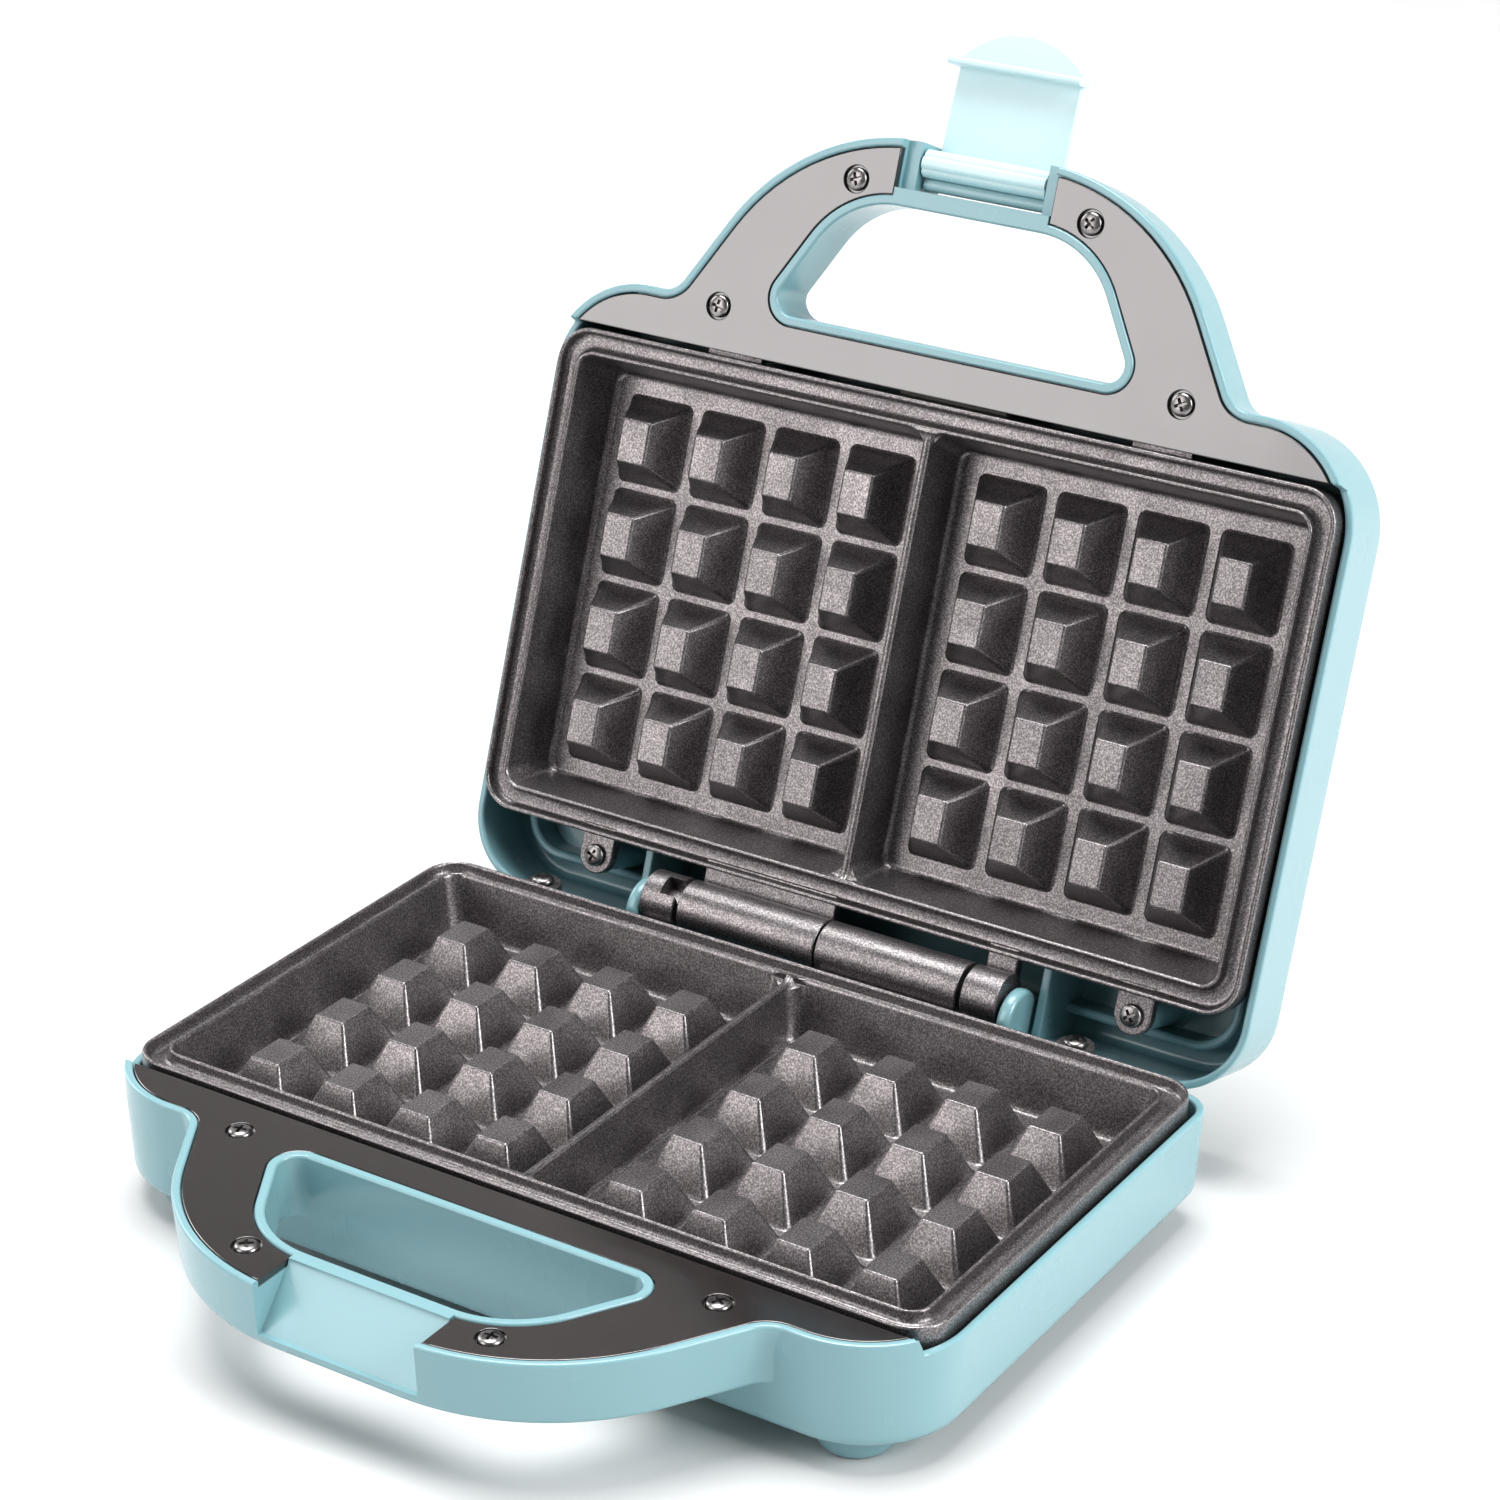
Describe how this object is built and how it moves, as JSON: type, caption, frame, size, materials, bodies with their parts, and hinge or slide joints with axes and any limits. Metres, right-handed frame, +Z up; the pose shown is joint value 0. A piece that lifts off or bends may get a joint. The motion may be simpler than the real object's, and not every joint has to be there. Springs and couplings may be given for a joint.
{
  "type": "waffle maker",
  "caption": "Waffle maker for rectangular waffles, with pyramid plates, a hinged lid, handle arches and a latch that holds it shut.",
  "frame": {"origin": "on the table under the middle of the open waffle maker's bounding box", "axes": "+X along the hinge, to the right as seen from the handle; -Y towards the handle; +Z up"},
  "size_m": [0.2236, 0.2856, 0.246],
  "materials": {
    "turquoise_shell": "glossy light turquoise moulding",
    "black_trim": "piano-black gloss",
    "black_screw": "black oxide steel",
    "nonstick_coating": "cast aluminium with a dark grey non-stick coating",
    "element_sheath": "dull heater sheath",
    "aluminised_sheet": "bright pressed sheet",
    "steel": "plain steel",
    "ceramic": "cream ceramic",
    "black_rubber": "matte black",
    "red_lens": "clear red",
    "green_lens": "clear green",
    "neon_lamp": "clear glass",
    "lamp_holder_plastic": "cream plastic"
  },
  "bodies": {
    "base": {"base_housing": "turquoise_shell", "base_trim_plate": "black_trim", "base_trim_screw_1": "black_screw", "base_trim_screw_2": "black_screw", "base_trim_screw_3": "black_screw", "base_trim_screw_4": "black_screw", "lower_cooking_plate": "nonstick_coating", "lower_plate_screw_1": "black_screw", "lower_plate_screw_2": "black_screw", "lower_heating_element": "element_sheath", "lower_element_clamp_1": "aluminised_sheet", "lower_element_clamp_2": "aluminised_sheet", "lower_heat_shield": "aluminised_sheet", "hinge_pin": "steel", "thermostat": "ceramic", "terminal_block": "ceramic", "cord_inlet_bush": "black_rubber", "foot_front_left": "turquoise_shell", "foot_front_right": "turquoise_shell", "foot_rear_left": "turquoise_shell", "foot_rear_right": "turquoise_shell"},
    "lid": {"lid_housing": "turquoise_shell", "lid_trim_plate": "black_trim", "lid_trim_screw_1": "black_screw", "lid_trim_screw_2": "black_screw", "lid_trim_screw_3": "black_screw", "lid_trim_screw_4": "black_screw", "upper_cooking_plate": "nonstick_coating", "upper_plate_screw_1": "black_screw", "upper_plate_screw_2": "black_screw", "upper_heating_element": "element_sheath", "upper_element_clamp_1": "aluminised_sheet", "upper_element_clamp_2": "aluminised_sheet", "upper_heat_shield": "aluminised_sheet", "thermal_fuse": "ceramic", "power_lens": "red_lens", "ready_lens": "green_lens", "power_lamp": "neon_lamp", "ready_lamp": "neon_lamp", "lamp_holder": "lamp_holder_plastic", "latch_pin": "steel"},
    "latch": {"latch": "turquoise_shell"}
  },
  "joints": [
    {"name": "lid_hinge", "type": "hinge", "parent": "base", "child": "lid", "pos_m": [0, 0.0552, 0.0345], "axis": [1, 0, 0], "range_deg": [0, 108.4]},
    {"name": "latch_pivot", "type": "hinge", "parent": "lid", "child": "latch", "pos_m": [0, 0.1233, 0.21546], "axis": [1, 0, 0], "range_deg": [0, 94]}
  ]
}
